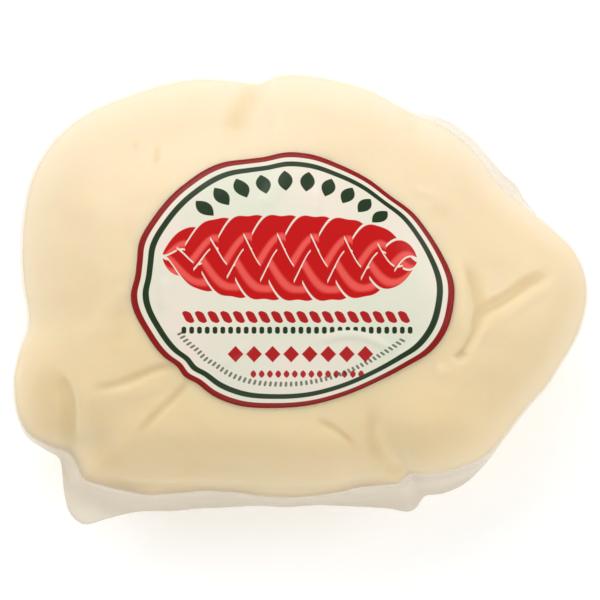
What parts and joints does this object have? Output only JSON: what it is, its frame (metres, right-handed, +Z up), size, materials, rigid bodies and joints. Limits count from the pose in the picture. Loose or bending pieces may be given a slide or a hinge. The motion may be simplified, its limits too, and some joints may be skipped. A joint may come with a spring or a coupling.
{
  "type": "braided string cheese",
  "caption": "Rope of string cheese wound into an uneven ball and sealed in tight clear film, with an oval label on its top.",
  "frame": {"origin": "on the table, under the middle of the pack's box", "axes": "+X to the reader's right as the label is read, +Y towards the top of the label, +Z up"},
  "size_m": [0.1224, 0.0954, 0.0504],
  "materials": {
    "cheese": "satin pale cream curd, slightly translucent",
    "label": "glossy off-white film with red and green print",
    "film": "clear glossy film, hazy grey-white where two layers are sealed"
  },
  "bodies": {
    "root": {"wrapped_cheese": "cheese", "label": "label"}
  },
  "joints": []
}
